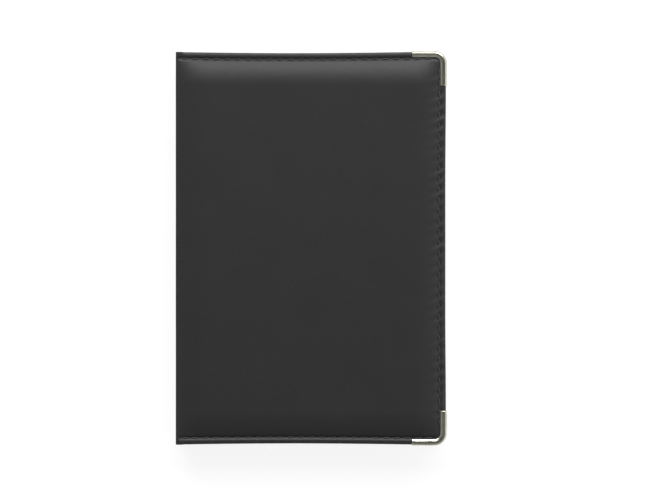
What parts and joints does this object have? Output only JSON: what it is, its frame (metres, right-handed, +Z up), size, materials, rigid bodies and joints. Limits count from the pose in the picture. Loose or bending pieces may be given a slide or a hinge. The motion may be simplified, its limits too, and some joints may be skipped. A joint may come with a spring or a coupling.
{
  "type": "pocket notebook",
  "caption": "Hardback pocket notebook with padded stitched leather covers, metal corner caps, a folding spine and a sewn block of leaves that fans open.",
  "frame": {"origin": "centre of the overall box in plan, on the surface that the closed notebook lies on", "axes": "+X from the spine to the fore edge, +Y from the tail to the head, +Z up through the closed book from the back cover to the front cover"},
  "size_m": [0.105, 0.1528, 0.018],
  "materials": {
    "leather": "black padded leather with a fine grain, satin",
    "thread": "black waxed thread, stitched through the leather",
    "metal": "polished nickel plate",
    "foam": "soft padding foam",
    "board": "grey bookbinding board",
    "endpaper": "smooth cream endpaper",
    "paper": "cream writing paper with faint rules",
    "cloth": "open woven lining cloth and gauze",
    "sewing": "waxed linen thread",
    "band": "silk wrapped over a cord"
  },
  "bodies": {
    "back_cover": {"back_board": "board", "back_foam": "foam", "back_leather": "leather", "back_stitching": "thread", "back_corner_head": "metal", "back_corner_tail": "metal", "back_pastedown": "endpaper", "back_flyleaf": "endpaper", "back_signature_1": "paper", "back_signature_2": "paper", "back_signature_3": "paper"},
    "spine": {"spine_leather": "leather", "spine_card": "board", "spine_cloth": "cloth", "spine_gauze": "cloth", "spine_bound_edges": "paper", "spine_sewing": "sewing", "spine_head_band": "band", "spine_tail_band": "band"},
    "front_cover": {"front_board": "board", "front_foam": "foam", "front_leather": "leather", "front_stitching": "thread", "front_corner_head": "metal", "front_corner_tail": "metal", "front_pastedown": "endpaper", "front_flyleaf": "endpaper", "front_signature_1": "paper", "front_signature_2": "paper", "front_signature_3": "paper"},
    "front_leaf_1": {"front_leaf_1": "paper"},
    "back_leaf_1": {"back_leaf_1": "paper"},
    "front_leaf_2": {"front_leaf_2": "paper"},
    "back_leaf_2": {"back_leaf_2": "paper"},
    "front_leaf_3": {"front_leaf_3": "paper"},
    "back_leaf_3": {"back_leaf_3": "paper"},
    "front_leaf_4": {"front_leaf_4": "paper"},
    "back_leaf_4": {"back_leaf_4": "paper"}
  },
  "joints": [
    {"name": "spine_fold", "type": "hinge", "parent": "back_cover", "child": "spine", "pos_m": [-0.0521, 0, 0.0026], "axis": [0, -1, 0], "range_deg": [0, 90]},
    {"name": "front_fold", "type": "hinge", "parent": "spine", "child": "front_cover", "pos_m": [-0.0521, 0, 0.01537], "axis": [0, -1, 0], "range_deg": [0, 90]},
    {"name": "front_leaf_1_turn", "type": "hinge", "parent": "spine", "child": "front_leaf_1", "pos_m": [-0.04675, 0, 0.00905], "axis": [0, -1, 0], "range_deg": [0, 40.5]},
    {"name": "back_leaf_1_turn", "type": "hinge", "parent": "spine", "child": "back_leaf_1", "pos_m": [-0.04675, 0, 0.00892], "axis": [0, -1, 0], "range_deg": [-40.5, 0]},
    {"name": "front_leaf_2_turn", "type": "hinge", "parent": "spine", "child": "front_leaf_2", "pos_m": [-0.04675, 0, 0.00918], "axis": [0, -1, 0], "range_deg": [0, 53.1]},
    {"name": "back_leaf_2_turn", "type": "hinge", "parent": "spine", "child": "back_leaf_2", "pos_m": [-0.04675, 0, 0.00879], "axis": [0, -1, 0], "range_deg": [-53.1, 0]},
    {"name": "front_leaf_3_turn", "type": "hinge", "parent": "spine", "child": "front_leaf_3", "pos_m": [-0.04675, 0, 0.00931], "axis": [0, -1, 0], "range_deg": [0, 65.7]},
    {"name": "back_leaf_3_turn", "type": "hinge", "parent": "spine", "child": "back_leaf_3", "pos_m": [-0.04675, 0, 0.00866], "axis": [0, -1, 0], "range_deg": [-65.7, 0]},
    {"name": "front_leaf_4_turn", "type": "hinge", "parent": "spine", "child": "front_leaf_4", "pos_m": [-0.04675, 0, 0.00944], "axis": [0, -1, 0], "range_deg": [0, 78.3]},
    {"name": "back_leaf_4_turn", "type": "hinge", "parent": "spine", "child": "back_leaf_4", "pos_m": [-0.04675, 0, 0.00853], "axis": [0, -1, 0], "range_deg": [-78.3, 0]}
  ],
  "couplings": [
    {"joint": "front_leaf_1_turn", "follows": "front_fold", "ratio": 0.45},
    {"joint": "back_leaf_1_turn", "follows": "spine_fold", "ratio": -0.45},
    {"joint": "front_leaf_2_turn", "follows": "front_fold", "ratio": 0.59},
    {"joint": "back_leaf_2_turn", "follows": "spine_fold", "ratio": -0.59},
    {"joint": "front_leaf_3_turn", "follows": "front_fold", "ratio": 0.73},
    {"joint": "back_leaf_3_turn", "follows": "spine_fold", "ratio": -0.73},
    {"joint": "front_leaf_4_turn", "follows": "front_fold", "ratio": 0.87},
    {"joint": "back_leaf_4_turn", "follows": "spine_fold", "ratio": -0.87}
  ]
}
